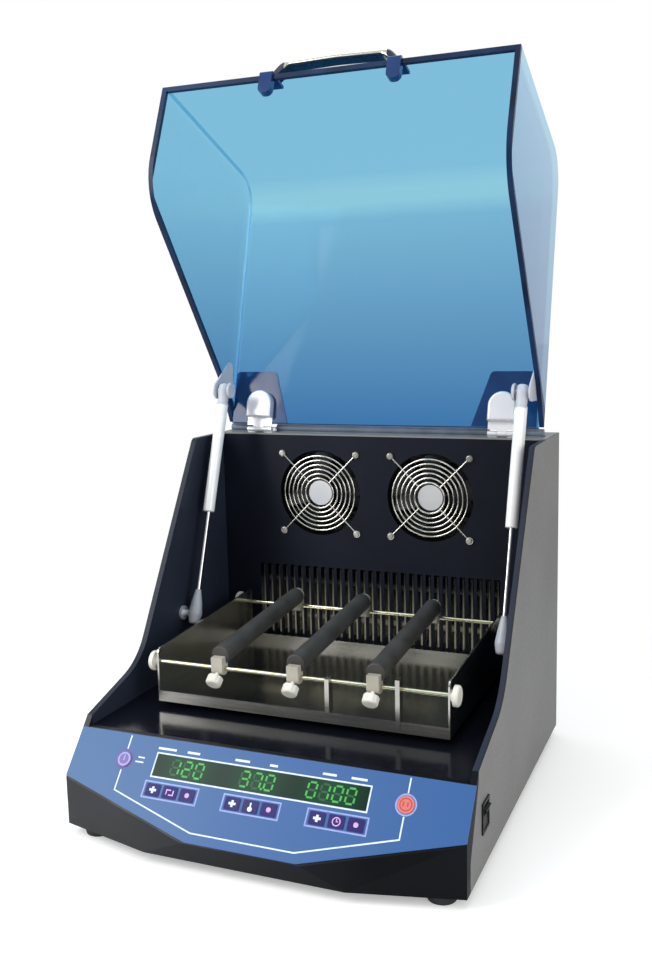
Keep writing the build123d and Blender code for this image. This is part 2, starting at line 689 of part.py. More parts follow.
def cross_bar(x):
    start = Plane(origin=bar_front + bar_dir * 2, z_dir=bar_dir)
    length = (bar_rear - bar_front).length - 4
    sleeve = start * Pos(0, 0, length / 2) * Cylinder(sleeve_radius, length)
    sleeve = fillet(sleeve.edges().filter_by(GeomType.CIRCLE), 1.5)
    blocks = []
    for y, z in (front_rod, rear_rod):
        block = box((-clamp_half, clamp_half), (y - 7, y + 7), (z - 7, z + bar_lift))
        block = fillet(block.edges().filter_by(Axis.X).sort_by(Axis.Z)[:2], 5)
        blocks.append(block - sleeve - rod_x(-20, 20, y, z, rod_radius + running))
    blocks[0] -= knob_plane * Pos(0, 0, 6) * Cylinder(2 + running, 7)
    cap = start * Pos(0, 0, length + 4) * Cylinder(sleeve_radius - 2, 8)
    cap = fillet(cap.faces().sort_by(Axis.Y)[-1].edges(), 3)
    return [Pos(x, 0, 0) * solid for solid in (sleeve, cap, *blocks)]


def clamp_knob(x):
    # Lobed thumb knob on a short screw that points at the rod.
    screw = Pos(0, 0, 9) * Cylinder(2, 11)
    head = Pos(0, 0, 18) * Cylinder(9, 10)
    head = fillet(head.faces().sort_by(Axis.Z)[-1].edges(), 3)
    for index in range(8):
        angle = index * math.pi / 4
        head -= Pos(10.4 * math.cos(angle), 10.4 * math.sin(angle), 18) * Cylinder(2, 12)
    return Pos(x, 0, 0) * (knob_plane * (screw + head))


for index, x in enumerate(bar_x):
    save(f"cross_bar_{index + 1}", cross_bar(x))
    save(f"clamp_knob_{index + 1}", clamp_knob(x))

pin_y = drive_y + orbit
hub_top = tray_bottom
hub_bottom = tray_bottom - 5
hub = rod_z(hub_bottom, hub_top, 0, pin_y, 45)
hub += box((-support_x - 14, support_x + 14), (pin_y - 14, pin_y + 14), (hub_bottom, hub_top))
hub += rod_z(100.5, hub_top, 0, pin_y, 14)
hub -= rod_z(90, hub_top - 1, 0, pin_y, 6 + running)
for x in (-support_x, support_x):
    hub -= rod_z(90, hub_top - 1, x, pin_y, 4 + running)
save("platform_hub", hub)

# ---------------------------------------------------------------- drive
housing = rod_z(pan_top, pan_top + 4, 0, drive_y, 46) + rod_z(pan_top, 58, 0, drive_y, 20)
housing -= rod_z(pan_top - 1, 60, 0, drive_y, 10 + running)
housings = [housing]
for x in (-support_x, support_x):
    small = rod_z(pan_top, pan_top + 4, x, drive_y, 24) + rod_z(pan_top, 84, x, drive_y, 12)
    housings.append(small - rod_z(pan_top - 1, 86, x, drive_y, 6 + running))
save("bearing_housings", housings)

shaft = rod_z(pan_top + 1, 96, 0, drive_y, 10)
shaft += rod_z(62, 74, 0, drive_y, pulley_radius)
weight = rod_z(86, 98, 0, drive_y, 44) - box((-50, 50), (drive_y - 4, drive_y + 60), (80, 100))
shaft += weight + rod_z(86, 98, 0, drive_y, 18)
shaft += rod_z(96, hub_top - 2, 0, pin_y, 6)
save("eccentric_shaft", shaft)

for name, x in (("support_crank_left", -support_x), ("support_crank_right", support_x)):
    crank = rod_z(pan_top + 10, 92, x, drive_y, 6)
    crank += rod_z(86, 92, x, drive_y, 9) + rod_z(86, 92, x, pin_y, 8)
    crank += box((x - 8, x + 8), (drive_y, pin_y), (86, 92))
    crank += rod_z(90, hub_top - 2, x, pin_y, 4)
    save(name, crank)

motor = rod_z(pan_top, 56, 0, motor_y, 30)
motor = fillet(motor.faces().sort_by(Axis.Z)[-1].edges(), 3)
motor += box((-36, 36), (motor_y - 36, motor_y + 36), (pan_top, pan_top + 5))
motor -= rod_z(36, 60, 0, motor_y, 4 + running)
save("drive_motor", motor)

motor_pulley = rod_z(62, 74, 0, motor_y, motor_pulley_radius) + rod_z(40, 63, 0, motor_y, 4)
save("motor_pulley", motor_pulley)


def belt_loop(grow):
    circles = Pos(0, drive_y) * Circle(pulley_radius + grow) + Pos(0, motor_y) * Circle(motor_pulley_radius + grow)
    return extrude(Plane.XY.offset(64) * make_hull(circles.edges()), amount=8)


save("drive_belt", belt_loop(2.3) - belt_loop(0.3))
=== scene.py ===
import math

import bmesh
import bpy
from mathutils import Matrix, Vector


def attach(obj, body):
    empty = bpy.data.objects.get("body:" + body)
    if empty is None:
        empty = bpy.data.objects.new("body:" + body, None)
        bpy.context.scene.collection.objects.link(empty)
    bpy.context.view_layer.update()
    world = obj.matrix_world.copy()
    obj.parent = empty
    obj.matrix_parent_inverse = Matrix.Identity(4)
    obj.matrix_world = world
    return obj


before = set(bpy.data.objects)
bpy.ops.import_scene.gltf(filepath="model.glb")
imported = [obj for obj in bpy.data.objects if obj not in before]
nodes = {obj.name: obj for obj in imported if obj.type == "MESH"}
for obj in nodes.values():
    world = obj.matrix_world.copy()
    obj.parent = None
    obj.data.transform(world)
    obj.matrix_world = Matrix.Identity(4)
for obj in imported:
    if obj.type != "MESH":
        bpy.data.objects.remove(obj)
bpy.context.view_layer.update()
print("frame loaded:", len(nodes), "nodes")

mm = 0.001
cabinetMiddle = 7.4  # mm from the model's origin forward to the middle of the cabinet


def at(x, y, z):
    # a place measured in mm from the middle of the cabinet
    return Vector((x, y - cabinetMiddle, z)) * mm


def srgb(hexCode):
    # sRGB hex to linear colour
    parts = [int(hexCode[i:i + 2], 16) / 255 for i in (1, 3, 5)]
    return [c / 12.92 if c <= 0.04045 else ((c + 0.055) / 1.055) ** 2.4 for c in parts] + [1.0]


def addNode(tree, kind, inputs=(), out=None, **settings):
    # inputs come in the node's own order or by name, each a value or the socket that feeds it
    node = tree.nodes.new("ShaderNode" + kind)
    for name, value in settings.items():
        setattr(node, name, value)
    pairs = inputs.items() if isinstance(inputs, dict) else enumerate(inputs)
    for key, source in pairs:
        if isinstance(source, bpy.types.NodeSocket):
            tree.links.new(source, node.inputs[key])
        else:
            node.inputs[key].default_value = source
    return node.outputs[out] if out else next((s for s in node.outputs if s.enabled), None)


def startMaterial(name):
    material = bpy.data.materials.new(name)
    material.use_nodes = True
    tree = material.node_tree
    tree.nodes.clear()
    return material, tree, addNode(tree, "TexCoord", out="Object")


noiseSpan = (0.3, 0.7)  # most of a noise texture lies between these


def grain(tree, coords, sizeMm, detail=2.0, stretch=(1, 1, 1)):
    # noise with blobs of about sizeMm, drawn out along an axis by a smaller number there
    placed = addNode(tree, "Mapping", {"Vector": coords, "Scale": stretch})
    scale = 0.5 / (sizeMm * mm)
    return addNode(tree, "TexNoise", {"Vector": placed, "Scale": scale, "Detail": detail})


def mottled(tree, coords, dark, pale, sizeMm, detail=2.0):
    # slow clouding between two close colours, and the field from 0 to 1 that it follows
    blobs = grain(tree, coords, sizeMm, detail)
    cloud = addNode(tree, "MapRange", [blobs, *noiseSpan, 0, 1])
    shades = {"Factor": cloud, "A": srgb(dark), "B": srgb(pale)}
    return addNode(tree, "Mix", shades, data_type="RGBA"), cloud


def facesAcross(tree):
    # how far a face looks along X, from 0 to 1
    sideways = addNode(tree, "SeparateXYZ", [addNode(tree, "TexCoord", out="Normal")], "X")
    return addNode(tree, "Math", [sideways], operation="ABSOLUTE")


def farFrom(tree, coords, place):
    # distance to a place that is mirrored on the other side of the object
    x, y, z = [addNode(tree, "SeparateXYZ", [coords], axis) for axis in "XYZ"]
    folded = addNode(tree, "CombineXYZ", [addNode(tree, "Math", [x], operation="ABSOLUTE"), y, z])
    return addNode(tree, "VectorMath", [folded, place], operation="DISTANCE")


def shortOf(tree, coords, place, way, reach):
    # 1 where the surface lies less than reach past the plane through a place, along a way
    along = addNode(tree, "VectorMath", [coords, way], operation="DOT_PRODUCT")
    return addNode(tree, "Math", [along, place.dot(way) + reach], operation="LESS_THAN")


# each skin returns a shader with its surface worked out from sizes in mm

def powderSkin(tree, coords, dark, pale, grainMm, depthMm, roughness, shine=0.5):
    # powder-coated steel: tiny orange-peel bumps break the sheen, with slight clouding
    colour = mottled(tree, coords, dark, pale, sizeMm=60)[0]
    peel = grain(tree, coords, grainMm, 3)
    return addNode(tree, "BsdfPrincipled", {
        "IOR": 1.5, "Specular IOR Level": shine, "Base Color": colour,
        "Roughness": addNode(tree, "MapRange", [peel, *noiseSpan, roughness - 0.06, roughness + 0.06]),
        "Normal": addNode(tree, "Bump", {"Height": peel, "Distance": depthMm * mm}),
    })


def plasticSkin(tree, coords, dark, pale, roughness, grainMm=0.8, depthMm=0.01, coat=0.0, shine=0.5):
    # injection-moulded plastic: even colour, faint spark texture, soft sheen
    colour, cloud = mottled(tree, coords, dark, pale, sizeMm=25)
    spark = grain(tree, coords, grainMm)
    return addNode(tree, "BsdfPrincipled", {
        "IOR": 1.49, "Specular IOR Level": shine, "Coat Weight": coat, "Coat Roughness": 0.08,
        "Base Color": colour,
        "Roughness": addNode(tree, "MapRange", [cloud, *noiseSpan, roughness - 0.05, roughness + 0.05]),
        "Normal": addNode(tree, "Bump", {"Height": spark, "Distance": depthMm * mm}),
    })


def metalSkin(tree, coords, dark, pale, roughness, grainMm=1.2, along=(0.03, 1, 1), depthMm=0.004,
              metallic=1.0):
    # brushed or drawn metal: fine lines run along one axis, mostly X, and stretch the highlights
    colour = mottled(tree, coords, dark, pale, sizeMm=45)[0]
    lines = grain(tree, coords, grainMm, 4, along)
    if along[0] < 1:
        # faces that look along X are brushed along Y
        turned = grain(tree, coords, grainMm, 4, (1, along[0], 1))
        across = addNode(tree, "Math", [facesAcross(tree), 0.5], operation="GREATER_THAN")
        lines = addNode(tree, "Mix", {"Factor": across, "A": lines, "B": turned}, data_type="FLOAT")
    return addNode(tree, "BsdfPrincipled", {
        "Metallic": metallic, "Base Color": colour,
        "Roughness": addNode(tree, "MapRange", [lines, *noiseSpan, roughness - 0.04, roughness + 0.04]),
        "Normal": addNode(tree, "Bump", {"Height": lines, "Distance": depthMm * mm}),
    })


def rubberSkin(tree, coords, dark, pale, roughness, grainMm=0.7):
    # moulded rubber or foam: matt, slightly dusty
    colour, dust = mottled(tree, coords, dark, pale, sizeMm=12, detail=4)
    pores = grain(tree, coords, grainMm, 3)
    return addNode(tree, "BsdfPrincipled", {
        "IOR": 1.52, "Base Color": colour,
        "Roughness": addNode(tree, "MapRange", [dust, *noiseSpan, roughness - 0.05, roughness + 0.08]),
        "Normal": addNode(tree, "Bump", {"Height": pores, "Distance": 0.03 * mm}),
    })


def inkSkin(tree, coords, dark, pale, glow=0.0):
    # screen-printed ink under a clear film: satin, slightly blotted
    colour = mottled(tree, coords, dark, pale, sizeMm=3, detail=3)[0]
    return addNode(tree, "BsdfPrincipled", {
        "Roughness": 0.4, "Specular IOR Level": 0.3, "Base Color": colour,
        "Emission Color": colour, "Emission Strength": glow,
    })


# the film's paler left end is a painted sheen from the lamp at the left
overlay = {"left": "#37628f", "right": "#235590", "fade": (-0.24, -0.02), "haze": 0.1}


def overlaySkin(tree, coords):
    # printed polycarbonate film: satin and blue; a painted sheen makes it paler towards its left end
    x = addNode(tree, "SeparateXYZ", [coords], "X")
    slope = addNode(tree, "MapRange", [x, *overlay["fade"], 0, 1])
    blobs = grain(tree, coords, 70)
    haze = addNode(tree, "MapRange", [blobs, *noiseSpan, -overlay["haze"], overlay["haze"]])
    blend = addNode(tree, "Math", [slope, haze], operation="ADD", use_clamp=True)
    shades = {"Factor": blend, "A": srgb(overlay["left"]), "B": srgb(overlay["right"])}
    return addNode(tree, "BsdfPrincipled", {
        "IOR": 1.55, "Roughness": 0.42, "Specular IOR Level": 0.35,
        "Base Color": addNode(tree, "Mix", shades, data_type="RGBA"),
        "Normal": addNode(tree, "Bump", {"Height": grain(tree, coords, 0.6), "Distance": 0.012 * mm}),
    })


window = {"between": "#052618", "module": "#0b3a23", "pitch": 82}


def windowSkin(tree, coords):
    # green filter window in front of lit modules, darker between them
    x = addNode(tree, "SeparateXYZ", [coords], "X")
    turn = addNode(tree, "Math", [x, 2 * math.pi / (window["pitch"] * mm)], operation="MULTIPLY")
    wave = addNode(tree, "Math", [turn], operation="COSINE")
    level = addNode(tree, "MapRange", [wave, -1, 1, 0, 1])
    shades = {"Factor": level, "A": srgb(window["between"]), "B": srgb(window["module"])}
    colour = addNode(tree, "Mix", shades, data_type="RGBA")
    return addNode(tree, "BsdfPrincipled", {
        "Roughness": 0.25, "IOR": 1.49, "Specular IOR Level": 0.12, "Base Color": colour,
        "Emission Color": colour, "Emission Strength": 0.2,
    })


def finish(name, skin, *colours, **settings):
    material, tree, coords = startMaterial(name)
    addNode(tree, "OutputMaterial", [skin(tree, coords, *colours, **settings)])
    return material


def twoSkins(name, mask, plain, marked):
    # one sub-assembly in two materials, the second where the mask is 1
    material, tree, coords = startMaterial(name)
    shaders = [skin(tree, coords, dark, pale, **settings)
               for skin, dark, pale, settings in (plain, marked)]
    both = addNode(tree, "MixShader", [mask(tree, coords), *shaders])
    addNode(tree, "OutputMaterial", [both])
    return material


# the hood's profile: the sheet runs from rim to crease to heel, the cheeks' free edge from rim to toe
hoodRim = at(0, 38.6, 834.9)
hoodCrease = at(0, 269.7, 744.8)
hoodHeel = at(0, 181.0, 415.0)
hoodBend = at(0, -13.5, 710.7)
hoodToe = at(0, 155.0, 474.0)
creaseRadius = 45 * mm
rimIn = (hoodCrease - hoodRim).normalized()
heelIn = (hoodCrease - hoodHeel).normalized()
topOut = Vector((0, -rimIn.z, rimIn.y))
backOut = Vector((0, heelIn.z, -heelIn.y))
creaseCentre = hoodCrease - (topOut + backOut) * creaseRadius / (1 + topOut.dot(backOut))

# heights are in metres; the bands of the edges, the joint and the painted bend highlight's fade are in mm
hoodTint = {
    "clear": "#80bedb", "shadedBottom": "#3c74aa", "top": 0.74, "bottom": 0.41,
    "bend": "#93cfe0", "bendHeight": 0.717, "bendShare": 0.7, "bendWidth": (8, 30),
    "edge": "#0a1a33", "edgePale": "#133158", "cheekBand": 5, "rimBand": 4.5, "heelBand": 0.4,
    "rimAbove": 0.6, "joint": 1,
}


def tintedAcrylic(name, edgeMask, polish, bonded=False):
    # blue cast acrylic: clear and glossy on its faces, dark where its sawn edges gather the colour
    material, tree, coords = startMaterial(name)
    # painted shade: the tint is painted darker from the top of the hood towards its bottom
    height = addNode(tree, "SeparateXYZ", [coords], "Z")
    depth = addNode(tree, "MapRange", [height, hoodTint["top"], hoodTint["bottom"], 0, 1])
    shades = {"Factor": depth, "A": srgb(hoodTint["clear"]), "B": srgb(hoodTint["shadedBottom"])}
    tint = addNode(tree, "Mix", shades, data_type="RGBA")
    if bonded:
        # painted highlight: the sheet's tint is paler along the bend, where it catches the light
        above = addNode(tree, "Math", [height, hoodTint["bendHeight"]], operation="SUBTRACT")
        fromBend = addNode(tree, "Math", [above], operation="ABSOLUTE")
        near, far = hoodTint["bendWidth"]
        bendHighlight = addNode(tree, "MapRange", [fromBend, near * mm, far * mm, hoodTint["bendShare"], 0])
        shades = {"Factor": bendHighlight, "A": tint, "B": srgb(hoodTint["bend"])}
        tint = addNode(tree, "Mix", shades, data_type="RGBA")
    # thin flat sheets shift the view behind them very little, so only their polish reflects
    clear = addNode(tree, "BsdfPrincipled", {
        "Transmission Weight": 1.0, "IOR": 1.0, "Roughness": 0.0, "Base Color": tint,
        "Coat Weight": polish, "Coat IOR": 1.49,
        "Coat Roughness": addNode(tree, "MapRange", [grain(tree, coords, 90), *noiseSpan, 0.02, 0.06]),
    })
    letThrough = addNode(tree, "BsdfTransparent", {"Color": tint})
    lampRay = addNode(tree, "LightPath", out="Is Shadow Ray")
    faces = addNode(tree, "MixShader", [lampRay, clear, letThrough])
    edge = plasticSkin(tree, coords, hoodTint["edge"], hoodTint["edgePale"], roughness=0.35, shine=0.2)
    whole = addNode(tree, "MixShader", [edgeMask(tree, coords), faces, edge])
    if bonded:
        # the ends of the bent sheet are cemented to the cheeks, so light passes the joint unbroken
        joint = addNode(tree, "Math", [facesAcross(tree), 0.5], operation="GREATER_THAN")
        whole = addNode(tree, "MixShader", [joint, whole, addNode(tree, "BsdfTransparent")])
    addNode(tree, "OutputMaterial", [whole])
    return material


def cheekEdge(tree, coords):
    # the cheeks' free edge in front, which also shows through a narrow band of their faces, but
    # not the edge behind the bent sheet
    sawn = addNode(tree, "Math", [facesAcross(tree), 0.5], operation="LESS_THAN")
    under = []  # how deep the surface lies under the top and under the back of the hood
    for place, out in ((hoodRim, topOut), (hoodHeel, backOut)):
        reach = addNode(tree, "VectorMath", [coords, out], operation="DOT_PRODUCT")
        under.append(addNode(tree, "Math", [place.dot(out), reach], operation="SUBTRACT"))
    nearest = addNode(tree, "Math", under, operation="MINIMUM")
    deeper = addNode(tree, "Math", under, operation="MAXIMUM")
    joint = hoodTint["joint"] * mm
    straight = addNode(tree, "Math", [nearest, joint], operation="LESS_THAN")
    # the joint also follows the round of the crease
    profile = addNode(tree, "VectorMath", [coords, (0, 1, 1)], operation="MULTIPLY")
    reach = addNode(tree, "VectorMath", [profile, creaseCentre], operation="DISTANCE")
    outside = addNode(tree, "Math", [reach, creaseRadius - joint], operation="GREATER_THAN")
    inCorner = addNode(tree, "Math", [deeper, creaseRadius], operation="LESS_THAN")
    rounded = addNode(tree, "Math", [outside, inCorner], operation="MULTIPLY")
    cemented = addNode(tree, "Math", [straight, rounded], operation="MAXIMUM")
    bare = addNode(tree, "Math", [1.0, cemented], operation="SUBTRACT")
    free = addNode(tree, "Math", [sawn, bare], operation="MULTIPLY")
    for start, end in ((hoodRim, hoodBend), (hoodBend, hoodToe)):
        way = (end - start).normalized()
        inward = Vector((0, -way.z, way.y))
        band = shortOf(tree, coords, start, inward, hoodTint["cheekBand"] * mm)
        free = addNode(tree, "Math", [free, band], operation="MAXIMUM")
    return free


def sheetEdge(tree, coords):
    # the bent sheet's sawn ends: the rim in front, which also shows through the face, and the heel
    rim = shortOf(tree, coords, hoodRim, rimIn, hoodTint["rimBand"] * mm)
    heel = shortOf(tree, coords, hoodHeel, heelIn, hoodTint["heelBand"] * mm)
    # the rim's plane also cuts the low end of the sheet, so its mask only counts high up
    height = addNode(tree, "SeparateXYZ", [coords], "Z")
    high = addNode(tree, "Math", [height, hoodTint["rimAbove"]], operation="GREATER_THAN")
    rim = addNode(tree, "Math", [rim, high], operation="MULTIPLY")
    return addNode(tree, "Math", [rim, heel], operation="MAXIMUM")


# masks for the parts that come in two materials: sizes in mm, and fades in metres
fittings = {
    "strutTop": 22, "strutFoot": 31.5, "fanHub": 16.5, "barCap": 1.9, "clampHalf": 8.5,
    "clampUnder": 8.4, "gripFoot": 63, "shellFade": (-0.16, 0.14), "finFade": (0.14, 0.21),
}
strutTop = at(200, 135, 463.6)
strutFoot = at(200, 34, 184)
fanHub = at(76.2, 183, 326)
barFront = at(0, -93.5, 177.5)
barRear = at(0, 125, 193.5)


def upperFitting(tree, coords):
    reach = farFrom(tree, coords, strutTop)
    return addNode(tree, "Math", [reach, fittings["strutTop"] * mm], operation="LESS_THAN")


def lowerFitting(tree, coords):
    reach = farFrom(tree, coords, strutFoot)
    return addNode(tree, "Math", [reach, fittings["strutFoot"] * mm], operation="LESS_THAN")


def hubDisc(tree, coords):
    # distance in the fan's own plane
    flat = addNode(tree, "VectorMath", [coords, (1, 0, 1)], operation="MULTIPLY")
    reach = farFrom(tree, flat, (fanHub.x, 0, fanHub.z))
    return addNode(tree, "Math", [reach, fittings["fanHub"] * mm], operation="LESS_THAN")


def barFittings(tree, coords):
    # clamp blocks hang under the sleeve at each rod, and pass its ends
    barWay = (barRear - barFront).normalized()
    barUp = Vector((0, -barWay.z, barWay.y))
    start, end = barFront.dot(barWay), barRear.dot(barWay)
    cap = fittings["barCap"] * mm
    along = addNode(tree, "VectorMath", [coords, barWay], operation="DOT_PRODUCT")
    frontCap = addNode(tree, "Math", [along, start + cap], operation="LESS_THAN")
    rearCap = addNode(tree, "Math", [along, end - cap], operation="GREATER_THAN")
    caps = addNode(tree, "Math", [frontCap, rearCap], operation="MAXIMUM")
    past = addNode(tree, "Math", [along, (start + end) / 2], operation="SUBTRACT")
    fromMiddle = addNode(tree, "Math", [past], operation="ABSOLUTE")
    past = addNode(tree, "Math", [fromMiddle, (end - start) / 2], operation="SUBTRACT")
    fromRod = addNode(tree, "Math", [past], operation="ABSOLUTE")
    atRod = addNode(tree, "Math", [fromRod, fittings["clampHalf"] * mm], operation="LESS_THAN")
    below = shortOf(tree, coords, barFront, barUp, -fittings["clampUnder"] * mm)
    clamps = addNode(tree, "Math", [atRod, below], operation="MULTIPLY")
    return addNode(tree, "Math", [caps, clamps], operation="MAXIMUM")


def panelEdge(tree, coords):
    # the rims of the side panels, which are black like the chamber
    return addNode(tree, "Math", [facesAcross(tree), 0.5], operation="LESS_THAN")


def shadedEnd(tree, coords):
    # painted shade: the front shell's colour and sheen are painted darker from its left end to its right
    # end
    x = addNode(tree, "SeparateXYZ", [coords], "X")
    return addNode(tree, "MapRange", [x, *fittings["shellFade"], 0, 1])


def gripShade(tree, coords):
    # painted shade: the handle's underside and its two feet, where the chrome lies in shade, get a dark
    # navy skin
    normal = addNode(tree, "TexCoord", out="Normal")
    upward = addNode(tree, "VectorMath", [normal, topOut], operation="DOT_PRODUCT")
    under = addNode(tree, "Math", [upward, -0.5], operation="LESS_THAN")
    x = addNode(tree, "SeparateXYZ", [coords], "X")
    aside = addNode(tree, "Math", [x], operation="ABSOLUTE")
    foot = addNode(tree, "Math", [aside, fittings["gripFoot"] * mm], operation="GREATER_THAN")
    return addNode(tree, "Math", [under, foot], operation="MAXIMUM")


def finShadeUpward(tree, coords):
    # painted shade: the fins' colour turns dark towards their upper ends, where they catch less light
    z = addNode(tree, "SeparateXYZ", [coords], "Z")
    return addNode(tree, "MapRange", [z, *fittings["finFade"], 0, 1])


# the orange peel has its real size; brushed lines, spark texture and pores are finer on the real
# thing, and are drawn this coarse so that they show

# powder coats on sheet steel: matt grey outside, black in the chamber, glossy on the deck
greyPaint = finish("greyTexturePaint", powderSkin, "#7a7a78", "#80807e",
                   grainMm=1.3, depthMm=0.12, roughness=0.5)
# the side panels get a slightly darker, less shiny copy of the grey powder coat: painted shade
sidePaint = twoSkins(
    "greySidePaint", panelEdge,
    (powderSkin, "#737371", "#7a7a78", dict(grainMm=1.3, depthMm=0.12, roughness=0.5, shine=0.25)),
    (powderSkin, "#15161b", "#1e1f25", dict(grainMm=1.3, depthMm=0.05, roughness=0.5, shine=0.3)))
# the chamber back and the liners are one black paint: the back is painted darker as painted shade, the
# liners paler as painted light
chamberPaint = finish("chamberBlackPaint", powderSkin, "#11151f", "#181c27",
                      grainMm=1.0, depthMm=0.02, roughness=0.42, shine=0.12)
linerPaint = finish("linerBlackPaint", powderSkin, "#262b38", "#2d3240",
                    grainMm=1.0, depthMm=0.02, roughness=0.42, shine=0.15)
deckGloss = finish("deckBlackGloss", powderSkin, "#0c0e15", "#12141c",
                   grainMm=2.5, depthMm=0.004, roughness=0.16, shine=0.2)
zincPaint = finish("basePanZinc", powderSkin, "#2c2e33", "#3a3c41",
                   grainMm=1.5, depthMm=0.03, roughness=0.5)
# the fins' upper ends get a dark copy of the paint: painted shade
finAluminium = twoSkins(
    "heaterFinAluminium", finShadeUpward,
    (powderSkin, "#dcd6c0", "#f0ead4", dict(grainMm=1.5, depthMm=0.01, roughness=0.5)),
    (powderSkin, "#1e1e20", "#2c2c2e", dict(grainMm=1.5, depthMm=0.01, roughness=0.5)))

# moulded plastics: soft sheen on the shell and knobs, sharper on the clips and gussets
# the shell's right end is a darker, duller copy of its plastic: painted shade
shellPlastic = twoSkins(
    "shellBlackPlastic", shadedEnd,
    (plasticSkin, "#101317", "#15181c", dict(roughness=0.42, grainMm=0.9, depthMm=0.03, shine=0.4)),
    (plasticSkin, "#030408", "#06080c", dict(roughness=0.42, grainMm=0.9, depthMm=0.03, shine=0.12)))
fittingGrey = finish("paleGreyFitting", plasticSkin, "#b4b8c2", "#c8ccd4", roughness=0.35)
whiteKnob = finish("ivoryKnobPlastic", plasticSkin, "#d9d6ca", "#e8e6dc", roughness=0.33, grainMm=1.2)
socketBlack = finish("socketBlackPlastic", plasticSkin, "#0a0a0d", "#111115", roughness=0.4, shine=0.3)
navyClip = finish("navyClipAcrylic", plasticSkin, "#0b3064", "#12407a",
                  roughness=0.15, grainMm=2.0, depthMm=0.002, coat=0.15)
gussetAcrylic = finish("navyGussetAcrylic", plasticSkin, "#042b58", "#083a6a",
                       roughness=0.1, grainMm=2.0, depthMm=0.002, coat=0.05, shine=0.3)
keyPurple = finish("keyPurpleMembrane", plasticSkin, "#1e195c", "#28216c", roughness=0.4, shine=0.2)
powerPurple = finish("powerKeyPlastic", plasticSkin, "#5d4389", "#6d539b", roughness=0.35)
startRed = finish("startKeyPlastic", plasticSkin, "#c95f5a", "#d8786f", roughness=0.35)
boardGreen = finish("circuitBoardLaminate", plasticSkin, "#1f5a34", "#2a6c40", roughness=0.45)

# rubbers and foam: matt, with dust that greys them a little
footRubber = finish("footRubber", rubberSkin, "#17171a", "#26262a", roughness=0.7)
sealRubber = finish("greySealRubber", rubberSkin, "#5d6876", "#74808f", roughness=0.5)
# the dark foam behind the rear vents stands in for the shade inside: painted shade
ventShadeFoam = finish("blackVentShadeFoam", rubberSkin, "#0e0e10", "#18181b", roughness=0.85, grainMm=2.5)
beltRubber = finish("beltRubber", rubberSkin, "#141416", "#222224", roughness=0.65)
barRubber = twoSkins(
    "barSleeveRubber", barFittings,
    (rubberSkin, "#302e2b", "#454340", dict(roughness=0.55)),
    (plasticSkin, "#a39f90", "#bab6a8", dict(roughness=0.4)))

# metals: a soft mirror on the tray and rods, hard glints on chrome, broad sheen on castings and plate
stainless = finish("polishedStainlessSheet", metalSkin, "#b5b4ae", "#d4d2ca",
                   roughness=0.21, depthMm=0.001)
stainlessRod = finish("drawnStainlessRod", metalSkin, "#c2bc9c", "#ddd8bc",
                      roughness=0.2, grainMm=3.0, along=(0.1, 1, 1), depthMm=0.001)
brightSteel = finish("satinNickelPlate", metalSkin, "#dcdde2", "#f1f1f4",
                     roughness=0.3, grainMm=9.0, along=(1, 1, 1), depthMm=0.0005, metallic=0.5)
# the handle's underside and feet are painted dark navy: painted shade
chromeBar = twoSkins(
    "chromePlatedHandle", gripShade,
    (metalSkin, "#dcdacb", "#f4f3ea", dict(roughness=0.14, grainMm=2.0, along=(0.1, 1, 1), depthMm=0.001)),
    (plasticSkin, "#0a1c33", "#10263f", dict(roughness=0.25, grainMm=2.0, depthMm=0.002, coat=0.3)))
chromeWire = finish("chromePlatedWire", metalSkin, "#cfcdc2", "#efede4",
                    roughness=0.14, grainMm=1.5, along=(1, 1, 1), depthMm=0.002)
screwSteel = finish("zincPlatedScrew", metalSkin, "#a9a79e", "#c9c7bf",
                    roughness=0.3, grainMm=0.8, along=(1, 1, 1))
machinedSteel = finish("machinedSteel", metalSkin, "#8d8e92", "#a9aaae",
                       roughness=0.35, grainMm=0.8, along=(1, 1, 0.1))
castAluminium = finish("castAluminium", metalSkin, "#9fa0a2", "#bcbdbf",
                       roughness=0.5, grainMm=1.5, along=(1, 1, 1), depthMm=0.05)
plateSteel = finish("zincPlatedSheet", metalSkin, "#9b9d9f", "#b7b9ba", roughness=0.38)
whiteTube = twoSkins(
    "whiteEnamelTube", upperFitting,
    (plasticSkin, "#f4f4f2", "#fbfbf9", dict(roughness=0.24, grainMm=2.0, depthMm=0.004, coat=0.5)),
    (plasticSkin, "#b4b8c2", "#c8ccd4", dict(roughness=0.35)))
strutRod = twoSkins(
    "chromedStrutRod", lowerFitting,
    (metalSkin, "#c4c4c6", "#e2e2e4", dict(roughness=0.12, grainMm=2.0, along=(1, 1, 0.1), depthMm=0.001)),
    (plasticSkin, "#a9adb5", "#c0c4cb", dict(roughness=0.35)))
fanPlastic = twoSkins(
    "fanBlackPlastic", hubDisc,
    (plasticSkin, "#17181d", "#1f2026", dict(roughness=0.45)),
    (metalSkin, "#c4c7cc", "#eeeeee", dict(roughness=0.35, grainMm=3.0, along=(1, 1, 1), depthMm=0.03)))

# the hood: the cheeks mirror the backdrop, the sheet is kept nearly free of the lamps' reflections
cheekAcrylic = tintedAcrylic("blueCheekAcrylic", cheekEdge, polish=1.0)
sheetAcrylic = tintedAcrylic("blueSheetAcrylic", sheetEdge, polish=0.1, bonded=True)

